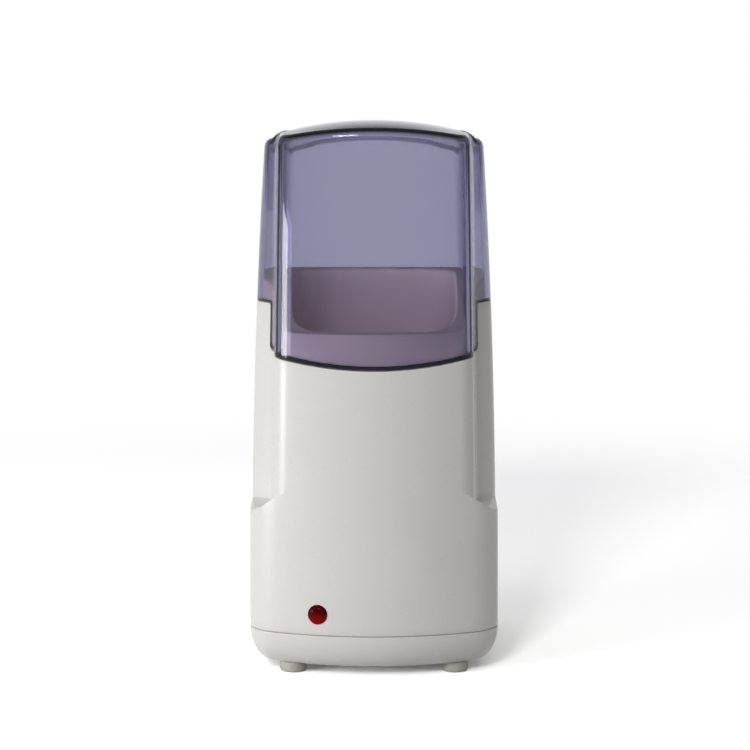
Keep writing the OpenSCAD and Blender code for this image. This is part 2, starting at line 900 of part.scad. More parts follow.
module rating_plate() {
    plate_w = 44;
    plate_d = 20;
    color("silver")
        translate([-plate_w / 2, well_y + 16, base_z - 0.3])
            cube([plate_w, plate_d, 0.3]);
}

// Insulated leads inside the base, each a tube along its route
lead_r = 0.9;
function lead_side(points, k) =
    let (n = len(points),
         a = points[max(0, k - 1)],
         b = points[min(n - 1, k + 1)],
         along = unit(b - a),
         across = unit(cross(along, abs(along[2]) > 0.8 ? [1, 0, 0] : [0, 0, 1])))
    [across, cross(across, along)];
module lead(points) {
    skin([for (k = [0:len(points) - 1])
        let (frame = lead_side(points, k))
        [for (a = [0:45:315]) points[k] + lead_r * (cos(a) * frame[0] - sin(a) * frame[1])]]);
}

function route(a, b, c, d) =
    [for (s = [0:12]) let (t = s / 12, u = 1 - t)
        u * u * u * a + 3 * u * u * t * b + 3 * u * t * t * c + t * t * t * d];

lead_z = floor_z + 3;
block_front_y = block_y - block_d / 2 - 0.3;
module live_lead() {
    from = [block_x, block_front_y, lead_z];
    to = [-5.9, well_y + blade_w / 2 + 3, floor_z + 3];
    color("saddlebrown")
        lead(route(from, from - [0, 12, 0], to + [0, 12, 0], to));
}

module neutral_lead() {
    from = [block_x + 7, block_front_y, lead_z];
    to = [fuse_x, well_y + 12.5, fuse_z];
    color("royalblue")
        lead(route(from, from - [0, 10, 0], to + [0, 10, -3], to));
}

module lamp_lead() {
    from = [block_x - 7, block_front_y, lead_z];
    to = [-lamp_left, board_y + board_t + 2, lead_z + 3];
    color("saddlebrown")
        lead(route(from, from - [0, 30, 0], to + [0, 30, -2], to));
}

body_shell();
base_cover();
clear_hood();
carton_well();
heater_plate();
heater_mat();
insulation_pad();
clamp_plate();
clamp_screws();
thermostat();
thermostat_screws();
thermal_fuse();
fuse_clip();
lamp_lens();
lamp_ring();
lamp_bulb();
circuit_board();
dropper_resistor();
board_screws();
terminal_block();
terminal_screws();
cord_gland();
cord_clamp();
cord_clamp_screws();
base_screws();
foot_front_left();
foot_front_right();
foot_rear_left();
foot_rear_right();
rating_plate();
live_lead();
neutral_lead();
lamp_lead();
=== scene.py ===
import math

import bmesh
import bpy
import numpy as np
from mathutils import Matrix


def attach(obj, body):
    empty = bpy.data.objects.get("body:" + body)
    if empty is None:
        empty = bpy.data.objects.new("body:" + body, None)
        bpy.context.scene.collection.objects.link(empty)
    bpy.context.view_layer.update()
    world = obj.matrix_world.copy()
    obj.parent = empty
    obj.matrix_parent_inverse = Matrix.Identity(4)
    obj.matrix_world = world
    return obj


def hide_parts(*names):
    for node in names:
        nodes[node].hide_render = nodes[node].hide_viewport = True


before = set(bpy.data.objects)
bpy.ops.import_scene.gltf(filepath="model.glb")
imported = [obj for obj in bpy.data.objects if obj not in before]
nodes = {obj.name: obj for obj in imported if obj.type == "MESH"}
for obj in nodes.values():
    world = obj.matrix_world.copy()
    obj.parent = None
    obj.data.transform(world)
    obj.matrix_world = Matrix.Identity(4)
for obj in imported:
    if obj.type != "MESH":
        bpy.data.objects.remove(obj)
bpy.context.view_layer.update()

scene = bpy.context.scene

# --- Base cover ---------------------------------------------------------------------------
# The shallow tray that closes the machine from below. It is moulded in glossy white plastic
# with a dished underside, six cooling slots and four screw pockets, and its tongue rises
# inside the body shell, where four screws hold it. Lengths are in millimetres.
SEAM, CREST = 22.3, 270.3
BASE_Z, TRAY_TOP, TONGUE_TOP, FLOOR_Z = 5.3, 21.9, 25.8, 8.0
TONGUE_OUTSIDE, TONGUE_INSIDE, TRAY_WALL = 2.8, 4.4, 3.4
FRONT, REAR, HALF_WIDTH = -62.25, 60.25, 61.5
PANEL_HALF, LOWER_HALF, REAR_CORNER = 51.5, 54.3, 14
BOW, CROWN_SHARE, EDGE_SHARE = 0.00415, 0.86, 0.136
WELL_Y = -2.75


def lean(z, total, power):
    """How far a wall leans in at height z, out of the total at the crest."""
    return total * max(0.0, (z - SEAM) / (CREST - SEAM)) ** power


def front_y(z):
    return FRONT + lean(z, 15, 1.2)


def rear_y(z):
    return REAR - lean(z, 15, 1.2)


def side_x(z):
    return HALF_WIDTH - lean(z, 8, 2.2)


def bow(x):
    return BOW * x * x


def upper_corners(z):
    """Corners of the plan above the shoulders, from the middle of the front to the rear, each
    as x, y and the size of its curve."""
    panel = PANEL_HALF - lean(z, 4, 1)
    corner, step, wing = panel - 1, front_y(z) + 32, side_x(z)
    return [
        (0, front_y(z) - bow(CROWN_SHARE * corner), 0),
        (corner, front_y(z) + 0.98 * bow(corner), 0),
        (panel, step, 3),
        (wing, step + 1.5 * (wing - panel), 5),
        (wing + 0.8, rear_y(z), REAR_CORNER),
    ]


def lower_corners(z):
    """The same corners below the shoulders, where the body is wider and chamfered."""
    wing = side_x(z)
    corner_y = front_y(z) + 0.98 * bow(LOWER_HALF)
    return [
        (0, front_y(z) - bow(CROWN_SHARE * LOWER_HALF), 0),
        (LOWER_HALF, corner_y, 0),
        ((LOWER_HALF + wing) / 2, corner_y + 5.25, 1),
        (wing, corner_y + 10.5, 5),
        (wing + 0.8, rear_y(z), REAR_CORNER),
    ]


CORNER_STEPS = [56, 12, 8, 10, 18]
RUN_SHARES = [
    [],
    list(np.linspace(0, 1, 16)[1:-1]),
    [0.03, 0.06, 0.09, 0.105, 0.109, 0.111, 0.125, 0.16, 0.2, 0.25, 0.32, 0.5, 0.75],
    list(np.linspace(0, 1, 26)[1:-1]),
    list(np.linspace(0, 1, 42)[1:-1]),
]
CUT_SHARE = 0.11
LEVEL_STEP = 4.0


def outline(corners, inset):
    """The plan outline as one closed loop of points, with every edge moved inwards by inset."""
    c = [np.array(p[:2], float) for p in corners]
    size = [p[2] for p in corners]
    c += [c[k] * (-1, 1) for k in range(4, 0, -1)]
    size += size[:0:-1]
    n = len(c)
    unit = [c[(k + 1) % n] - c[k] for k in range(n)]
    unit = [u / np.linalg.norm(u) for u in unit]
    moved = []
    for k in range(n):
        a = np.array((-unit[k - 1][1], unit[k - 1][0]))
        b = np.array((-unit[k][1], unit[k][0]))
        moved.append(c[k] + inset * (a + b) / (1 + a @ b))
    span = np.linalg.norm(moved[1] - moved[0])

    def reach(k, other):
        edge = moved[other % n] - moved[k]
        length = np.linalg.norm(edge)
        front = k == 0 or (k == 1 and other == 0) or (k == n - 1 and other == n)
        if k == 0:
            size_here = CROWN_SHARE * length
        elif front:
            size_here = EDGE_SHARE * span
        elif k in (1, n - 1):
            size_here = min(EDGE_SHARE * span, 0.75 * length)
        else:
            size_here = min(size[k], 0.47 * length)
        return moved[k] + edge / length * size_here

    points = []
    for k in range(n):
        start, end = reach(k, k - 1), reach(k, k + 1)
        steps = CORNER_STEPS[k if k < 5 else n - k]
        for t in np.linspace(0, 1, steps + 1):
            points.append((1 - t) ** 2 * start + 2 * t * (1 - t) * moved[k] + t * t * end)
        following = reach((k + 1) % n, k if k < n - 1 else n - 1)
        shares = RUN_SHARES[k] if k < 5 else [1 - s for s in RUN_SHARES[n - 1 - k][::-1]]
        for s in shares:
            points.append(end + s * (following - end))
    return np.array(points)


def around(corners, inset):
    """A function that gives the outline's points at one height, or at a height for each."""
    levels = np.arange(0, 284, LEVEL_STEP)
    table = np.array([outline(corners(z), inset) for z in levels])

    def at(z):
        z = np.broadcast_to(np.asarray(z, float), table.shape[1:2])
        place = np.clip(z / LEVEL_STEP, 0, len(levels) - 1.001)
        low = place.astype(int)
        share = (place - low)[:, None]
        k = np.arange(table.shape[1])
        plan = table[low, k] * (1 - share) + table[low + 1, k] * share
        return np.column_stack([plan, z])

    return at


def shrunk(ring, share, middle, z):
    """A ring drawn in towards a middle point, at height z."""
    plan = ring[:, :2] + (np.array(middle) - ring[:, :2]) * share
    return np.column_stack([plan, np.broadcast_to(z, len(ring))])


def skin(name, rings, ends="caps", sharp=32, second=lambda j, k: False):
    """A closed mesh through rings of equal length, closed by caps or into a loop. The faces for
    which second is true, at ring j and column k, take the second material."""
    n, m = len(rings[0]), len(rings)
    mesh = bpy.data.meshes.new(name)
    points = np.vstack(rings)
    faces = []
    for j in range(m if ends == "loop" else m - 1):
        a, b = j * n, (j + 1) % m * n
        for k in range(n):
            e = (k + 1) % n
            faces.append((a + k, a + e, b + e, b + k))
    if ends == "caps":
        points = np.vstack([points, rings[0].mean(0), rings[-1].mean(0)])
        for k in range(n):
            e = (k + 1) % n
            faces.append((m * n, e, k))
            faces.append((m * n + 1, (m - 1) * n + k, (m - 1) * n + e))
    mesh.from_pydata((points * 0.001).tolist(), [], faces)
    for number, face in enumerate(mesh.polygons):
        face.material_index = int(bool(second(number // n, number % n)))
    piece = bpy.data.objects.new(name, mesh)
    scene.collection.objects.link(piece)
    finish_mesh(piece, sharp)
    return piece


def finish_mesh(piece, sharp=32):
    """Merges doubles, turns faces outwards and keeps a crisp edge where faces meet sharply."""
    work = bmesh.new()
    work.from_mesh(piece.data)
    bmesh.ops.remove_doubles(work, verts=work.verts, dist=1e-7)
    bmesh.ops.dissolve_degenerate(work, edges=work.edges, dist=1e-7)
    bmesh.ops.recalc_face_normals(work, faces=work.faces)
    if work.calc_volume(signed=True) < 0:
        bmesh.ops.reverse_faces(work, faces=work.faces)
    for face in work.faces:
        face.smooth = True
    for edge in work.edges:
        edge.smooth = edge.calc_face_angle(0) < math.radians(sharp)
    work.to_mesh(piece.data)
    work.free()


def finished(piece):
    """Applies the modifiers, so that the piece is a plain mesh."""
    made = bpy.data.meshes.new_from_object(
        piece.evaluated_get(bpy.context.evaluated_depsgraph_get())
    )
    piece.modifiers.clear()
    piece.data = made
    return piece


def cut_away(piece, cutter):
    """Cuts one solid out of a piece and removes the cutter."""
    cut = piece.modifiers.new("cut", "BOOLEAN")
    cut.operation, cut.solver, cut.object = "DIFFERENCE", "EXACT", cutter
    finished(piece)
    bpy.data.objects.remove(cutter)
    finish_mesh(piece)


def turned(name, profile, steps=64, place=(0, 0, 0), turn=None):
    """A turned solid from a profile of (radius, height) pairs that starts and ends on the axis."""
    angles = np.linspace(0, 2 * math.pi, steps, endpoint=False)
    rings = [
        np.column_stack([r * np.cos(angles), r * np.sin(angles), np.full(steps, float(h))])
        for r, h in profile
    ]
    piece = skin(name, rings, "caps")
    if turn is not None:
        piece.data.transform(turn)
    for v in piece.data.vertices:
        v.co += v.co.__class__(place) * 0.001
    piece.data.update()
    return piece


def added(tree, kind, settings):
    """A new node of one kind, with the given values in its input sockets."""
    made = tree.nodes.new(kind)
    for socket, value in settings.items():
        made.inputs[socket].default_value = value
    return made


def ranged(tree, source, start, end, low=0.0, high=1.0, soft=False):
    """Maps a value that runs from start to end onto low to high, and clamps it."""
    made = added(tree, "ShaderNodeMapRange",
                 {"From Min": start, "From Max": end, "To Min": low, "To Max": high})
    if soft:
        made.interpolation_type = "SMOOTHSTEP"
    tree.links.new(source, made.inputs["Value"])
    return made.outputs["Result"]


def noise(tree, place, scale, detail):
    """A noise that is fixed to the piece."""
    made = added(tree, "ShaderNodeTexNoise", {"Scale": scale, "Detail": detail})
    tree.links.new(place, made.inputs["Vector"])
    return made.outputs["Fac"]


def relief_on(tree, shader, height, strength, distance):
    """Raises the shader's surface by a noise."""
    bump = added(tree, "ShaderNodeBump", {"Strength": strength, "Distance": distance})
    tree.links.new(height, bump.inputs["Height"])
    tree.links.new(bump.outputs["Normal"], shader.inputs["Normal"])


def principled(material):
    return material.node_tree.nodes["Principled BSDF"]


def moulded(name, colour, rough, grain=1.0, tint=0.03, relief=0.03):
    """A moulded or machined surface: a slow drift of tone, a fine grain, and uneven gloss."""
    material = bpy.data.materials.new(name)
    material.use_nodes = True
    tree = material.node_tree
    shader = principled(material)
    place = tree.nodes.new("ShaderNodeTexCoord").outputs["Object"]
    drift = noise(tree, place, 28 * grain, 3)
    fine = noise(tree, place, 900 * grain, 4)
    ramp = tree.nodes.new("ShaderNodeValToRGB")
    shades = [c * (1 - tint) for c in colour], [min(1, c * (1 + tint)) for c in colour]
    for stop, position, shade in zip(ramp.color_ramp.elements, (0.3, 0.7), shades):
        stop.position = position
        stop.color = (*shade, 1)
    tree.links.new(drift, ramp.inputs["Fac"])
    tree.links.new(ramp.outputs["Color"], shader.inputs["Base Color"])
    gloss = ranged(tree, fine, 0.3, 0.7, rough * 0.88, rough * 1.14)
    tree.links.new(gloss, shader.inputs["Roughness"])
    relief_on(tree, shader, fine, relief, 0.0002)
    return material


shell_white = moulded("shell_white", (0.80, 0.785, 0.76), 0.3, tint=0.012, relief=0.02)

low_out = around(lower_corners, 0)
CURVE_HEIGHT, CURVE_DEPTH = 16, 11
rise = []
for angle in range(0, 91, 5):
    z = BASE_Z + CURVE_HEIGHT * (1 - math.cos(math.radians(angle)))
    share = 0.985 * min(1, max(0, (BASE_Z + CURVE_HEIGHT - z) / CURVE_HEIGHT))
    rise.append((z, CURVE_DEPTH * (1 - math.sqrt(1 - share**2))))
tray_plans = {}


def tray_ring(z, inset):
    """The outline at the seam, moved in by inset and set at height z."""
    key = round(inset, 3)
    if key not in tray_plans:
        tray_plans[key] = outline(lower_corners(SEAM), inset)
    return np.column_stack([tray_plans[key], np.full(len(tray_plans[key]), z)])


bottom = tray_ring(BASE_Z, rise[0][1])
rings = [shrunk(bottom, s, (0, 0), BASE_Z) for s in (0.97, 0.85, 0.6, 0.3, 0.1, 0.03)]
rings += [tray_ring(z, inset) for z, inset in rise]
rings += [tray_ring(TRAY_TOP - 0.3, 0), tray_ring(TRAY_TOP - 0.09, 0.09), tray_ring(TRAY_TOP, 0.3)]
rings += [tray_ring(TRAY_TOP, TONGUE_OUTSIDE), tray_ring(TONGUE_TOP, TONGUE_OUTSIDE)]
rings += [tray_ring(TONGUE_TOP, TONGUE_INSIDE)]
rings += [tray_ring(z + 1.5, inset + TRAY_WALL) for z, inset in rise[:0:-2]]
floor_ring = tray_ring(FLOOR_Z, rise[1][1] + TRAY_WALL)
rings += [floor_ring] + [shrunk(floor_ring, s, (0, 0), FLOOR_Z) for s in (0.1, 0.4, 0.8, 0.97)]
base_cover = skin("base_cover_moulding", rings)

SLOT_HALF, SLOT_FRONT, SLOT_BACK = 1.25, WELL_Y - 36, WELL_Y - 18
slots = bmesh.new()
for x in range(-20, 21, 8):
    loop = []
    for end_y, side in ((SLOT_BACK, 1), (SLOT_FRONT, -1)):
        for a in np.linspace(-1.57, 1.57, 9):
            loop.append((x + side * SLOT_HALF * math.sin(a), end_y + side * SLOT_HALF * math.cos(a)))
    low = [slots.verts.new((p[0] * 0.001, p[1] * 0.001, 0.002)) for p in loop]
    high = [slots.verts.new((p[0] * 0.001, p[1] * 0.001, 0.011)) for p in loop]
    slots.faces.new(low)
    slots.faces.new(high[::-1])
    for k in range(len(loop)):
        e = (k + 1) % len(loop)
        slots.faces.new((low[k], high[k], high[e], low[e]))
bmesh.ops.recalc_face_normals(slots, faces=slots.faces)
cutter_mesh = bpy.data.meshes.new("slot_cutter")
slots.to_mesh(cutter_mesh)
slots.free()
cutter = bpy.data.objects.new("slot_cutter", cutter_mesh)
scene.collection.objects.link(cutter)
cut_away(base_cover, cutter)
SCREWS_ACROSS, SCREWS_ALONG, SCREWS_MIDDLE = 101, 56, 1.25
for x in (-SCREWS_ACROSS / 2, SCREWS_ACROSS / 2):
    for y in (SCREWS_MIDDLE - SCREWS_ALONG / 2, SCREWS_MIDDLE + SCREWS_ALONG / 2):
        pocket = turned(
            "pocket_cutter",
            [(0.05, 2), (3.9, 2), (3.9, 5.1), (3.3, 5.9), (3.3, 10.3), (0.05, 10.3)],
            48,
            (x, y, 0),
        )
        cut_away(base_cover, pocket)
base_cover.data.materials.append(shell_white)
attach(base_cover, "base")
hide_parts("base_cover")

# --- Feet and base screws -----------------------------------------------------------------
# Four ivory rubber feet, each pushed into its hole by a stem, and four pan-head screws that
# hold the base cover to the bosses of the body shell. Both sets stand on a rectangle.


def four_of(pattern, across, along, middle_y, material, name):
    """Stands the pattern on the four corners of a rectangle, by Geometry Nodes."""
    tree = bpy.data.node_groups.new(name + "_layout", "GeometryNodeTree")
    face = tree.interface
    face.new_socket("Pattern", in_out="INPUT", socket_type="NodeSocketGeometry")
    inputs = {
        label: face.new_socket(label, in_out="INPUT", socket_type="NodeSocketFloat")
        for label in ("Across", "Along", "Middle Y")
    }
    face.new_socket("Pieces", in_out="OUTPUT", socket_type="NodeSocketGeometry")
    start = tree.nodes.new("NodeGroupInput")
    end = tree.nodes.new("NodeGroupOutput")
    grid = tree.nodes.new("GeometryNodeMeshGrid")
    grid.inputs["Vertices X"].default_value = 2
    grid.inputs["Vertices Y"].default_value = 2
    shift = tree.nodes.new("GeometryNodeTransform")
    offset = tree.nodes.new("ShaderNodeCombineXYZ")
    on_points = tree.nodes.new("GeometryNodeInstanceOnPoints")
    real = tree.nodes.new("GeometryNodeRealizeInstances")
    paint = tree.nodes.new("GeometryNodeSetMaterial")
    paint.inputs["Material"].default_value = material
    link = tree.links.new
    link(start.outputs["Across"], grid.inputs["Size X"])
    link(start.outputs["Along"], grid.inputs["Size Y"])
    link(start.outputs["Middle Y"], offset.inputs["Y"])
    link(grid.outputs["Mesh"], shift.inputs["Geometry"])
    link(offset.outputs["Vector"], shift.inputs["Translation"])
    link(shift.outputs["Geometry"], on_points.inputs["Points"])
    link(start.outputs["Pattern"], on_points.inputs["Instance"])
    link(on_points.outputs["Instances"], real.inputs["Geometry"])
    link(real.outputs["Geometry"], paint.inputs["Geometry"])
    link(paint.outputs["Geometry"], end.inputs["Pieces"])
    layout = pattern.modifiers.new("layout", "NODES")
    layout.node_group = tree
    for label, value in (("Across", across), ("Along", along), ("Middle Y", middle_y)):
        layout[inputs[label].identifier] = value * 0.001
    pattern.name = name
    return finished(pattern)


rubber = moulded("foot_rubber", (0.50, 0.49, 0.44), 0.55, relief=0.2, tint=0.05)
foot = turned(
    "foot",
    [(0.05, 0), (5.3, 0), (6.0, 0.12), (6.5, 0.5), (6.72, 1.0), (6.75, 1.6), (6.75, 4.7),
     (6.6, 5.1), (6.2, 5.3), (2.5, 5.3), (2.5, 8.6), (2.9, 8.7), (2.9, 9.3), (2.2, 10.4), (0.05, 10.4)],
)
FEET_ACROSS, FEET_ALONG, FEET_MIDDLE = 80, 83, 1.75
feet = four_of(foot, FEET_ACROSS, FEET_ALONG, FEET_MIDDLE, rubber, "rubber_feet")
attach(feet, "base")
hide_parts("foot_front_left", "foot_front_right", "foot_rear_left", "foot_rear_right")

screw_steel = moulded("screw_steel", (0.50, 0.50, 0.49), 0.32, grain=2.0, relief=0.12)
principled(screw_steel).inputs["Metallic"].default_value = 1
screw = turned(
    "screw",
    [(0.05, 8.2), (2.3, 8.2), (2.75, 8.45), (3.0, 9.0), (3.0, 10.25), (1.25, 10.25), (1.25, 31),
     (0.6, 32.5), (0.05, 33)],
    40,
)
for turn in (0, 1):
    bar = bmesh.new()
    bmesh.ops.create_cube(bar, size=1)
    for v in bar.verts:
        across, thin = v.co.x * 3.5 * (0.6 if v.co.z > 0 else 1.0), v.co.y * 0.75
        x, y = (thin, across) if turn else (across, thin)
        v.co = (x * 0.001, y * 0.001, (8.1 if v.co.z < 0 else 9.4) * 0.001)
    bmesh.ops.recalc_face_normals(bar, faces=bar.faces)
    mesh = bpy.data.meshes.new("recess_cutter")
    bar.to_mesh(mesh)
    bar.free()
    recess = bpy.data.objects.new("recess_cutter", mesh)
    scene.collection.objects.link(recess)
    cut_away(screw, recess)
screws = four_of(
    screw, SCREWS_ACROSS, SCREWS_ALONG, SCREWS_MIDDLE, screw_steel, "cover_screws"
)
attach(screws, "base")
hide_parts("base_screws")

# --- Rating plate -------------------------------------------------------------------------
# A thin plate of brushed foil stuck to the underside. It carries no lettering here.
foil = moulded("foil", (0.62, 0.62, 0.60), 0.38, grain=1.5, relief=0.05, tint=0.05)
principled(foil).inputs["Metallic"].default_value = 1
plate = nodes["rating_plate"]
plate.data.materials.clear()
plate.data.materials.append(foil)

# --- Body shell ---------------------------------------------------------------------------
# One moulding in glossy white plastic. A bowed front panel narrows above two small shoulders,
# the side walls stand further back, and a lip set in all round carries the hood and the well.
# The lip is painted in the darker tint of the well, as painted shade under the hood's skirt.
SIDE_EDGE, SKIRT_EDGE, RIM = 181.0, 152.0, 192.0
RIM_DIP, LIP, SHELL_WALL, FLANGE = 23, 2.8, 2.5, 2.5
SHOULDER_Z, SHOULDER_FLAT = 91, 46.5
column_start = np.cumsum(
    [0]
    + [
        CORNER_STEPS[k if k < 5 else 9 - k] + 1 + len(RUN_SHARES[k if k < 5 else 8 - k])
        for k in range(9)
    ]
)


def from_cut():
    """How far each column stands beyond the cut between skirt and side, along the outline."""
    ring = outline(upper_corners(170), 0)
    step = np.linalg.norm(np.roll(ring, -1, 0) - ring, axis=1)
    run = np.concatenate([[0], np.cumsum(step)])[:-1]
    start = column_start[2] + CORNER_STEPS[2]
    length = run[column_start[3]] - run[start]
    cut_right = run[start] + CUT_SHARE * length
    total = step.sum()
    middle = run[CORNER_STEPS[0] // 2]
    cut_right -= middle
    place = (run - middle) % total
    return np.minimum(place, total - place) - cut_right


PAST_CUT = from_cut()


def smooth(t):
    t = np.clip(t, 0, 1)
    return t * t * (3 - 2 * t)


def hood_edge(x, corner=1.6, notch=2.0):
    """Height of the lower edge of the hood in each column, with both of its corners rounded."""
    skirt = SKIRT_EDGE + 0.0023 * x * x
    d = PAST_CUT
    outer, inner = np.clip(d + corner, 0, corner), np.clip(notch - d, 0, notch)
    low = skirt + corner - np.sqrt(np.maximum(0, corner**2 - outer**2))
    high = SIDE_EDGE - notch + np.sqrt(np.maximum(0, notch**2 - inner**2))
    return np.where(d < 0, low, high)


DIP_FROM, DIP_TO = WELL_Y - 2, front_y(RIM) + LIP + 2


def rim_at(y):
    """Height of the rim, which dips towards the front."""
    return RIM - RIM_DIP * smooth((DIP_FROM - y) / (DIP_FROM - DIP_TO))


def on_rim(at, drop):
    """The ring of an outline that lies a little below the rim."""
    ring = at(RIM)
    for _ in range(3):
        ring = at(rim_at(ring[:, 1]) - drop)
    return ring


upper_out = around(upper_corners, 0)
lip_out = around(upper_corners, LIP)
lip_in = around(upper_corners, LIP + SHELL_WALL)
wall_in_low, wall_in_high = around(lower_corners, SHELL_WALL), around(upper_corners, SHELL_WALL)
x_here = upper_out(160)[:, 0]
ledge = hood_edge(x_here) - 0.5
beyond_flat = np.abs(low_out(SHOULDER_Z)[:, 0]) - SHOULDER_FLAT
sloped = SHOULDER_Z - 0.7 * np.maximum(0, beyond_flat)


def shoulder_rings(low_at, high_at, drop):
    """Rings over the small ledge where the wide lower body meets the narrower upper body."""
    steps = [(-1.5, 0), (-1.05, 0.03), (-0.8, 0.12), (-0.6, 0.3), (-0.2, 0.52), (0.15, 0.78),
             (0.35, 0.92), (0.6, 0.985), (1.0, 1)]
    made = []
    for rise_by, share in steps:
        z = sloped + rise_by - drop
        a, b = low_at(z), high_at(z)
        made.append(a * (1 - share) + b * share)
    return made


def climb(at, low, high, shares):
    """Rings of one face at shares of the way from a low height to a high one."""
    return [at(low + t * (high - low)) for t in shares]


seam_top = SEAM + 0.35
rings = [tray_ring(SEAM, SHELL_WALL), tray_ring(SEAM, 0.35)]
rings += [tray_ring(SEAM + 0.1, 0.1), tray_ring(seam_top, 0)]
rings += climb(low_out, seam_top, sloped - 1.5, np.linspace(0, 1, 20)[1:-1])
rings += shoulder_rings(low_out, upper_out, 0)
rings += climb(upper_out, sloped + 1, ledge - 0.4, np.linspace(0, 1, 26)[1:])
for angle in (30, 60, 90):
    a = math.radians(angle)
    rings.append(around(upper_corners, 0.4 * (1 - math.cos(a)))(ledge - 0.4 + 0.4 * math.sin(a)))
lip_start = len(rings)
rings += [lip_out(ledge)]
top = on_rim(lip_out, FLANGE)
rings += climb(lip_out, ledge, top[:, 2], np.linspace(0, 1, 7)[1:-1])
rings += [top, on_rim(lip_in, FLANGE)]
lip_end = len(rings) - 1
inner_top = on_rim(lip_in, FLANGE)[:, 2]
rings += climb(lip_in, inner_top, np.minimum(ledge - 2.5, inner_top - 1), (0.5, 1))
wall_top = np.minimum(ledge - 3, inner_top - 1.5)
rings += climb(wall_in_high, sloped + 1, wall_top, (1, 0.66, 0.33))
rings += shoulder_rings(wall_in_low, wall_in_high, 2)[::-2]
rings += climb(wall_in_low, SEAM, sloped - 4, (0.8, 0.4, 0.1))
# The lip's faces take the well's darker tint, as painted shade under the hood's skirt.
body_shell = skin(
    "body_shell_moulding", rings, "loop", second=lambda j, k: lip_start <= j < lip_end
)
well_white = moulded("well_white", (0.66, 0.54, 0.50), 0.36, tint=0.015, relief=0.03)
body_shell.data.materials.append(shell_white)
body_shell.data.materials.append(well_white)

LAMP_X, LAMP_Z = -27.5, 32.5
lamp_y = front_y(LAMP_Z) + bow(LAMP_X)
bow_angle = math.atan(2 * BOW * LAMP_X)
laid_back = Matrix.Rotation(math.radians(-90), 4, "X")
lamp_turn = Matrix.Rotation(bow_angle, 4, "Z") @ laid_back
GLAND_X, GLAND_Z = 24, 31.5
for name, radius, depth, place, turn in (
    ("lamp_hole_cutter", 4.9, 4, (LAMP_X, lamp_y, LAMP_Z), lamp_turn),
    ("gland_hole_cutter", 5.1, 6, (GLAND_X, 59.5, GLAND_Z), laid_back),
):
    profile = [(0.05, -depth), (radius, -depth), (radius, 6), (0.05, 6)]
    cut_away(body_shell, turned(name, profile, 64, place, turn))
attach(body_shell, "base")
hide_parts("body_shell")

# --- Pilot lamp ---------------------------------------------------------------------------
# A dark red lens with a low dome, pressed through the wall from inside and held by a spring
# ring behind it. The plastic is brighter low down, where the light through it gathers.
lens_red = moulded("lamp_red", (0.085, 0.0008, 0.001), 0.09, relief=0.03, tint=0.2)
red = principled(lens_red)
red.inputs["IOR"].default_value = 1.49
red.inputs["Specular IOR Level"].default_value = 0.03
tree = lens_red.node_tree
height = tree.nodes.new("ShaderNodeSeparateXYZ")
tree.links.new(tree.nodes.new("ShaderNodeTexCoord").outputs["Object"], height.inputs[0])
glow = added(tree, "ShaderNodeMixRGB", {"Color2": (0.42, 0.002, 0.003, 1)})
tree.links.new(ranged(tree, height.outputs["Z"], 0.0335, 0.0280), glow.inputs["Fac"])
tree.links.new(red.inputs["Base Color"].links[0].from_socket, glow.inputs["Color1"])
tree.links.new(glow.outputs["Color"], red.inputs["Base Color"])
profile = [(0.05, 5.2), (3.5, 5.2), (3.5, 6.2), (4.7, 6.2), (4.7, 0.35), (4.66, 0.1)]
for share in np.linspace(0, 1, 15):
    r = 4.55 * (1 - share) + 0.05 * share
    profile.append((r, -1.75 * math.sqrt(max(0, 1 - (r / 4.7) ** 2)) - 0.05))
lens = turned("lamp_lens_dome", profile, 72, (LAMP_X, lamp_y, LAMP_Z), lamp_turn)
lens.data.materials.append(lens_red)
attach(lens, "base")
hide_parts("lamp_lens")

# --- Cord gland ---------------------------------------------------------------------------
# A black moulded bush in the rear wall, with a flat round flange outside and an open bore
# for the lead. The lead itself is not part of the model.
black_plastic = moulded("black_plastic", (0.022, 0.022, 0.024), 0.42, relief=0.12, tint=0.1)
steps = 64
angles = np.linspace(0, 2 * math.pi, steps, endpoint=False)
section = [
    (3.2, -5), (3.2, 1.4), (3.45, 1.85), (3.9, 2.0), (6.3, 2.0), (6.8, 1.8), (7.0, 1.4),
    (7.0, 0.15), (5.0, 0.15), (5.0, -4.4), (4.6, -5),
]
rings = [
    np.column_stack([r * np.cos(angles), r * np.sin(angles), np.full(steps, h)])
    for r, h in section
]
gland = skin("cord_bush", rings, "loop")
gland_place = Matrix.Translation((GLAND_X * 0.001, 0.0602, GLAND_Z * 0.001))
gland.data.transform(gland_place @ laid_back)
gland.data.materials.append(black_plastic)
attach(gland, "base")
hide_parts("cord_gland")
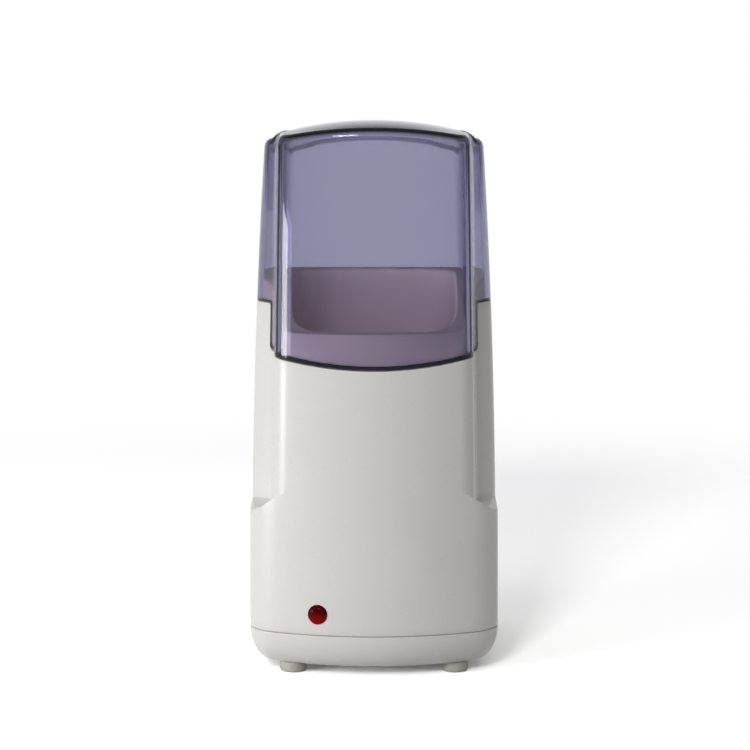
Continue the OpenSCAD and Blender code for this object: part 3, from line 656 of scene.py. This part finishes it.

# --- Carton well --------------------------------------------------------------------------
# The square tub that the milk carton stands in, moulded in one with the flange that closes
# the top of the body. The flange is flat at the back, falls to the front and has a soft lip.
# The inside of the tub is painted paler than the flange, as painted light that lifts the shade inside
# the tub.


def tub_ring(half, z, bend=14):
    """A rounded square of the tub, with one point on the line to each column of the outline."""
    corners = [np.array(c) * half + (0, WELL_Y) for c in ((1, -1), (1, 1), (-1, 1), (-1, -1))]
    loop = []
    for k in range(4):
        c, before, after = corners[k], corners[k - 1], corners[(k + 1) % 4]
        start = c + bend * (before - c) / np.linalg.norm(before - c)
        end = c + bend * (after - c) / np.linalg.norm(after - c)
        for t in np.linspace(0, 1, 60):
            loop.append((1 - t) ** 2 * start + 2 * t * (1 - t) * c + t * t * end)
        following = after + bend * (c - after) / np.linalg.norm(c - after)
        for t in np.linspace(0, 1, 90)[1:-1]:
            loop.append(end + t * (following - end))
    loop = np.array(loop) - (0, WELL_Y)
    angle, radius = np.arctan2(loop[:, 1], loop[:, 0]), np.linalg.norm(loop, axis=1)
    order = np.argsort(angle)
    angle, radius = angle[order], radius[order]
    angle = np.concatenate([angle - 2 * math.pi, angle, angle + 2 * math.pi])
    radius = np.tile(radius, 3)
    flange = lip_out(180)[:, :2] - (0, WELL_Y)
    toward = np.arctan2(flange[:, 1], flange[:, 0])
    r = np.interp(toward, angle, radius)
    x, y = r * np.cos(toward), r * np.sin(toward) + WELL_Y
    z = np.broadcast_to(z if not callable(z) else z(y), len(x))
    return np.column_stack([x, y, z])


TUB_FLOOR, TUB_BASE, MOUTH_BEND = 28, 26, 22
tub_floor = tub_ring(34.5, TUB_FLOOR)
rings = [shrunk(tub_floor, s, (0, WELL_Y), TUB_FLOOR) for s in (0.97, 0.8, 0.5, 0.2)]
for angle in range(0, 91, 15):
    a = math.radians(angle)
    rings.append(tub_ring(34.6 + 4.4 * math.sin(a), TUB_FLOOR + 4.4 * (1 - math.cos(a))))
wall_foot = TUB_FLOOR + 4.4
for t in np.linspace(0, 1, 14)[1:]:
    rings.append(
        tub_ring(39 + 1.2 * t, lambda y, t=t: wall_foot + t * (rim_at(y) - 4 - wall_foot), 14 + 8 * t)
    )
for angle in (15, 30, 45, 60, 75, 84):
    a = math.radians(angle)
    half = 40.2 + 1.8 * (1 - math.cos(a))
    rings.append(tub_ring(half, lambda y, a=a: rim_at(y) - 4 * (1 - math.sin(a)), MOUTH_BEND))
rings.append(tub_ring(42.1, rim_at, MOUTH_BEND))
inside_rings = len(rings) - 3
edge_in = on_rim(around(upper_corners, LIP + 0.8), 0)
inner = rings[-1]
for t in np.linspace(0, 1, 7)[1:-1]:
    plan_here = inner[:, :2] * (1 - t) + edge_in[:, :2] * t
    rings.append(np.column_stack([plan_here, rim_at(plan_here[:, 1])]))
rings.append(edge_in)
for angle in (25, 50, 70, 90):
    a = math.radians(angle)
    lip_edge = around(upper_corners, LIP + 0.8 * (1 - math.sin(a)))
    rings.append(on_rim(lip_edge, 0.8 * (1 - math.cos(a))))
rings.append(on_rim(lip_out, FLANGE - 0.05))
rings.append(tub_ring(42.9, lambda y: rim_at(y) - FLANGE))
rings.append(tub_ring(42.2, lambda y: rim_at(y) - 4))
under = tub_ring(41, TUB_BASE)
rings += [tub_ring(41.6, 100), under]
rings += [shrunk(under, s, (0, WELL_Y), TUB_BASE) for s in (0.05, 0.4, 0.8, 0.97)]
well = skin("well_moulding", rings, second=lambda j, k: j < inside_rings)
well.data.materials.append(well_white)
# A paler copy of the well's tint for the inside of the tub, as painted light.
well_inside_painted_light = moulded("well_inside_painted_light", (0.92, 0.77, 0.72), 0.42, tint=0.02, relief=0.03)
well.data.materials.append(well_inside_painted_light)
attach(well, "base")
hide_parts("carton_well")

# --- Hood ---------------------------------------------------------------------------------
# The tall cover that keeps the carton warm, moulded in clear violet plastic with an even
# wall. Its skirt drops over the front panel, and it lifts straight off the lip of the body.
# Its lower edge and its two front corners are painted near black, as painted shade for the darkening of
# the clear plastic where its wall is seen edge-on.
WALL, EDGE_R, SOFT = 2.2, 4.5, 0.5
ROOF_SHARES = (0.015, 0.035, 0.06, 0.09, 0.13, 0.18, 0.24, 0.31, 0.39, 0.48, 0.58, 0.68,
               0.78, 0.88, 0.95, 0.985)
BROW_STEPS = 8
ROOF_TOP, ROOF_STEP = front_y(CREST) + 42, front_y(CREST) + 32


def roof_z(x, y):
    """Height of the roof, which arches across and falls away from its highest line."""
    back = smooth((y - ROOF_STEP) / 20 + (np.abs(x) - 44) / 6)
    behind, before = np.maximum(0, y - ROOF_TOP) / 46, np.minimum(0, y - ROOF_TOP) / 38
    return CREST - (7.1 + 1.8 * back) * (x / 50) ** 2 - (9 * behind**1.5 + 1.9 * before**2)


def hood_rings(inset, lowest, band):
    """Rings of one face of the hood, from its lower edge to the middle of the roof."""
    radius = EDGE_R - inset
    flank, brow = around(upper_corners, inset), around(upper_corners, inset + radius)
    deeper = around(upper_corners, inset + radius + 1)
    a, b = brow(250), deeper(250)
    slope = (roof_z(b[:, 0], b[:, 1]) - roof_z(a[:, 0], a[:, 1])) / 1.0
    last = math.pi / 2 - np.arctan(np.maximum(slope, 0))
    top = roof_z(a[:, 0], a[:, 1]) - inset - radius * np.sin(last)
    made = [flank(lowest)]
    made += [flank(lowest + band + t * (top - lowest - band)) for t in np.linspace(0, 1, 34)]
    for share in np.linspace(0, 1, BROW_STEPS + 1)[1:]:
        turn = last * share
        inward = radius * (1 - np.cos(turn))
        outer, inner_ring = flank(top), brow(top)
        mix = (inward / radius)[:, None]
        ring = outer * (1 - mix) + inner_ring * mix
        made.append(np.column_stack([ring[:, :2], top + radius * np.sin(turn)]))
    brim = made[-1]
    middle = (0, (front_y(CREST) + rear_y(CREST)) / 2)
    for t in ROOF_SHARES:
        ring = shrunk(brim, t, middle, 0)
        target = roof_z(ring[:, 0], ring[:, 1]) - inset
        gap = (brim[:, 2] - (roof_z(brim[:, 0], brim[:, 1]) - inset)) * (1 - smooth(t / 0.13))
        made.append(np.column_stack([ring[:, :2], target + gap]))
    return made


lower = hood_edge(x_here)
# The lowest strip of the hood's wall is painted near black, as painted shade along its lower edge.
painted_shade_band = np.where(PAST_CUT < 0, 1.2, 0.25)
rings = hood_rings(0, lower + SOFT, painted_shade_band)[::-1]
first_painted_shade = len(rings) - 2
for side, angles in ((0, (30, 60, 90)), (WALL, (90, 60, 30))):
    for angle in angles:
        a = math.radians(angle)
        inset = abs(side - SOFT * (1 - math.cos(a)))
        rings.append(around(upper_corners, inset)(lower + SOFT * (1 - math.sin(a))))
rings += hood_rings(WALL, lower + SOFT, painted_shade_band)
PAINTED_SHADE_STRIPS = 9
below_brow = len(ROOF_SHARES) + BROW_STEPS
# Two columns at each front corner of the hood are painted near black, as painted shade where the wall
# is seen edge-on.
right_corner, left_corner = column_start[1] + 6, column_start[8] + 4
corner_columns = [right_corner, right_corner + 1, left_corner, left_corner + 1]


# Faces painted near black as painted shade: the strips along the lower edge and the front corner
# columns.
def is_painted_shade(j, k):
    if j < first_painted_shade:
        return j >= below_brow and k in corner_columns
    return j < first_painted_shade + PAINTED_SHADE_STRIPS


hood = skin("hood_moulding", rings, second=is_painted_shade)


def mixed(tree, share, first, second):
    """A blend of two shaders, all of the second where share is 1."""
    made = tree.nodes.new("ShaderNodeMixShader")
    for socket, source in enumerate((share, first, second)):
        tree.links.new(source, made.inputs[socket])
    return made.outputs["Shader"]


violet = bpy.data.materials.new("violet_clear")
violet.use_nodes = True
tree = violet.node_tree
clear = principled(violet)
clear.inputs["Base Color"].default_value = (1, 1, 1, 1)
clear.inputs["Transmission Weight"].default_value = 1
clear.inputs["IOR"].default_value = 1.49
place = tree.nodes.new("ShaderNodeTexCoord").outputs["Object"]
haze = noise(tree, place, 60, 4)
tree.links.new(ranged(tree, haze, 0.3, 0.7, 0.015, 0.045), clear.inputs["Roughness"])
relief_on(tree, clear, noise(tree, place, 22, 1), 0.04, 0.0006)
lets_through = added(tree, "ShaderNodeBsdfTransparent", {"Color": (0.96, 0.96, 0.98, 1)})
shadow = tree.nodes.new("ShaderNodeLightPath").outputs["Is Shadow Ray"]
surface = mixed(tree, shadow, clear.outputs["BSDF"], lets_through.outputs["BSDF"])
tree.links.new(surface, tree.nodes["Material Output"].inputs["Surface"])
depth = added(tree, "ShaderNodeVolumeAbsorption",
              {"Color": (0.02, 0.0, 0.31, 1), "Density": 296})
tree.links.new(depth.outputs["Volume"], tree.nodes["Material Output"].inputs["Volume"])
hood.data.materials.append(violet)
# A near black violet, painted shade for the hood's lower edge and front corners.
violet_painted_shade = moulded("violet_painted_shade", (0.006, 0.004, 0.012), 0.2, tint=0.2, relief=0.03)
principled(violet_painted_shade).inputs["Specular IOR Level"].default_value = 0.2
hood.data.materials.append(violet_painted_shade)
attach(hood, "hood")
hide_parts("clear_hood")

# --- Heater, lamp and wiring inside -------------------------------------------------------
# The parts under and beside the well keep their shapes from model.glb: an aluminium plate, a
# heating mat, its pad and clamp, the thermostat and fuse, and the mains and lamp wiring.
inside = {
    "heater_plate": ("aluminium", (0.68, 0.69, 0.70), 0.34, 1, 0.10),
    "heater_mat": ("heater_red", (0.42, 0.07, 0.03), 0.55, 0, 0.30),
    "insulation_pad": ("felt", (0.46, 0.45, 0.42), 0.92, 0, 0.90),
    "clamp_plate": ("steel", (0.56, 0.57, 0.58), 0.36, 1, 0.12),
    "clamp_screws": ("screw_steel", None, 0, 0, 0),
    "thermostat": ("black_plastic", None, 0, 0, 0),
    "thermostat_screws": ("screw_steel", None, 0, 0, 0),
    "thermal_fuse": ("fuse_body", (0.52, 0.42, 0.30), 0.40, 0, 0.15),
    "fuse_clip": ("steel", None, 0, 0, 0),
    "lamp_ring": ("spring_black", (0.035, 0.035, 0.035), 0.45, 0, 0.15),
    "lamp_bulb": ("bulb_glass", (0.75, 0.62, 0.55), 0.12, 0, 0.05),
    "circuit_board": ("board_green", (0.03, 0.13, 0.05), 0.38, 0, 0.20),
    "dropper_resistor": ("fuse_body", None, 0, 0, 0),
    "board_screws": ("screw_steel", None, 0, 0, 0),
    "terminal_block": ("well_white", None, 0, 0, 0),
    "terminal_screws": ("brass", (0.62, 0.45, 0.18), 0.30, 1, 0.12),
    "cord_clamp": ("black_plastic", None, 0, 0, 0),
    "cord_clamp_screws": ("screw_steel", None, 0, 0, 0),
    "live_lead": ("lead_brown", (0.16, 0.07, 0.03), 0.48, 0, 0.12),
    "neutral_lead": ("lead_blue", (0.02, 0.07, 0.26), 0.48, 0, 0.12),
    "lamp_lead": ("lead_brown", None, 0, 0, 0),
}
for name, (finish, colour, rough, metal, relief) in inside.items():
    material = bpy.data.materials.get(finish)
    if colour is not None:
        material = moulded(finish, colour, rough, grain=2.0, relief=relief, tint=0.08)
        principled(material).inputs["Metallic"].default_value = metal
    nodes[name].data.materials.clear()
    nodes[name].data.materials.append(material)

# --- Floor, light and camera --------------------------------------------------------------
# A plain white floor that runs out to a white wall behind, a small light in front, a soft
# box on the left, and a dim room that only shows in gloss and in the edges of the hood. The
# floor is paler for rays that show it than for the light it throws back on the machine.


def worked(tree, operation, first, second):
    made = tree.nodes.new("ShaderNodeMath")
    made.operation = operation
    tree.links.new(first, made.inputs[0])
    tree.links.new(second, made.inputs[1])
    return made.outputs[0]


def seen_rays(tree):
    """1 for the rays that show the background itself, whether straight or in gloss or glass."""
    path = tree.nodes.new("ShaderNodeLightPath").outputs
    straight = worked(tree, "MAXIMUM", path["Is Camera Ray"], path["Is Glossy Ray"])
    return worked(tree, "MAXIMUM", straight, path["Is Transmission Ray"])


world = bpy.data.worlds.new("surround")
scene.world = world
world.use_nodes = True
tree = world.node_tree
tree.nodes.clear()
ambient = added(tree, "ShaderNodeBackground", {"Color": (1, 1, 1, 1)})
ahead = tree.nodes.new("ShaderNodeSeparateXYZ")
tree.links.new(tree.nodes.new("ShaderNodeTexCoord").outputs["Generated"], ahead.inputs[0])
overhead = ranged(tree, ahead.outputs["Z"], 0.3, 0.9, 0.28, 0.30)
tree.links.new(overhead, ambient.inputs["Strength"])
wall = worked(
    tree,
    "MULTIPLY",
    ranged(tree, ahead.outputs["Y"], 0.72, 0.9, soft=True),
    ranged(tree, ahead.outputs["Z"], 0.32, 0.02, soft=True),
)
straight = tree.nodes.new("ShaderNodeLightPath").outputs["Is Camera Ray"]
room = added(tree, "ShaderNodeBackground", {"Color": (0.30, 0.30, 0.31, 1)})
white = added(tree, "ShaderNodeBackground", {"Color": (1, 1, 1, 1), "Strength": 1.0})
studio = mixed(tree, worked(tree, "MAXIMUM", wall, straight), room.outputs[0], white.outputs[0])
sky = mixed(tree, seen_rays(tree), ambient.outputs[0], studio)
tree.links.new(sky, tree.nodes.new("ShaderNodeOutputWorld").inputs["Surface"])

FLOOR_REACH = 9.0
floor_corners = [(x * FLOOR_REACH, y * FLOOR_REACH, 0) for x, y in ((-1, -1), (1, -1), (1, 1), (-1, 1))]
ground_mesh = bpy.data.meshes.new("ground")
ground_mesh.from_pydata(floor_corners, [], [(0, 1, 2, 3)])
ground = bpy.data.objects.new("ground", ground_mesh)
scene.collection.objects.link(ground)
paper = bpy.data.materials.new("floor_paper")
paper.use_nodes = True
tree = paper.node_tree
tree.nodes.clear()
matt = added(tree, "ShaderNodeBsdfDiffuse", {"Color": (2.62, 2.62, 2.62, 1)})
dim = added(tree, "ShaderNodeBsdfDiffuse", {"Color": (0.42, 0.42, 0.42, 1)})
glow = added(tree, "ShaderNodeEmission", {"Strength": 1.0, "Color": (1, 1, 1, 1)})
distance = tree.nodes.new("ShaderNodeVectorMath")
distance.operation = "LENGTH"
tree.links.new(tree.nodes.new("ShaderNodeTexCoord").outputs["Object"], distance.inputs[0])
fade = ranged(tree, distance.outputs["Value"], 0.46, 0.78, soft=True)
shown = mixed(tree, fade, matt.outputs[0], glow.outputs[0])
paper_shader = mixed(tree, seen_rays(tree), dim.outputs[0], shown)
tree.links.new(paper_shader, tree.nodes.new("ShaderNodeOutputMaterial").inputs["Surface"])
ground.data.materials.append(paper)


def soft_box(name, place, aim, width, height, power):
    lamp = bpy.data.lights.new(name, "AREA")
    lamp.shape, lamp.size, lamp.size_y, lamp.energy = "RECTANGLE", width, height, power
    holder = bpy.data.objects.new(name, lamp)
    scene.collection.objects.link(holder)
    holder.location = place
    toward = holder.location.__class__(aim) - holder.location
    holder.rotation_euler = toward.to_track_quat("-Z", "Y").to_euler()
    return holder


soft_box("front_light", (-0.39, -1.45, 0.92), (0, 0, 0.12), 0.34, 0.34, 6.4)
soft_box("side_light", (-0.69, -0.40, 0.15), (0, 0, 0.14), 0.38, 0.20, 2.9)

LENS_MM, AWAY = 119.0, 1.25
elevation = math.radians(8.2)
camera_data = bpy.data.cameras.new("camera")
camera_data.lens, camera_data.sensor_width = LENS_MM, 36
camera = bpy.data.objects.new("camera", camera_data)
scene.collection.objects.link(camera)
aim = (0.0005, 0.0, 0.142)
camera.location = (aim[0], -AWAY * math.cos(elevation), aim[2] + AWAY * math.sin(elevation))
camera.rotation_euler = (math.radians(90) - elevation, 0, 0)
scene.camera = camera
scene.view_settings.view_transform = "Standard"
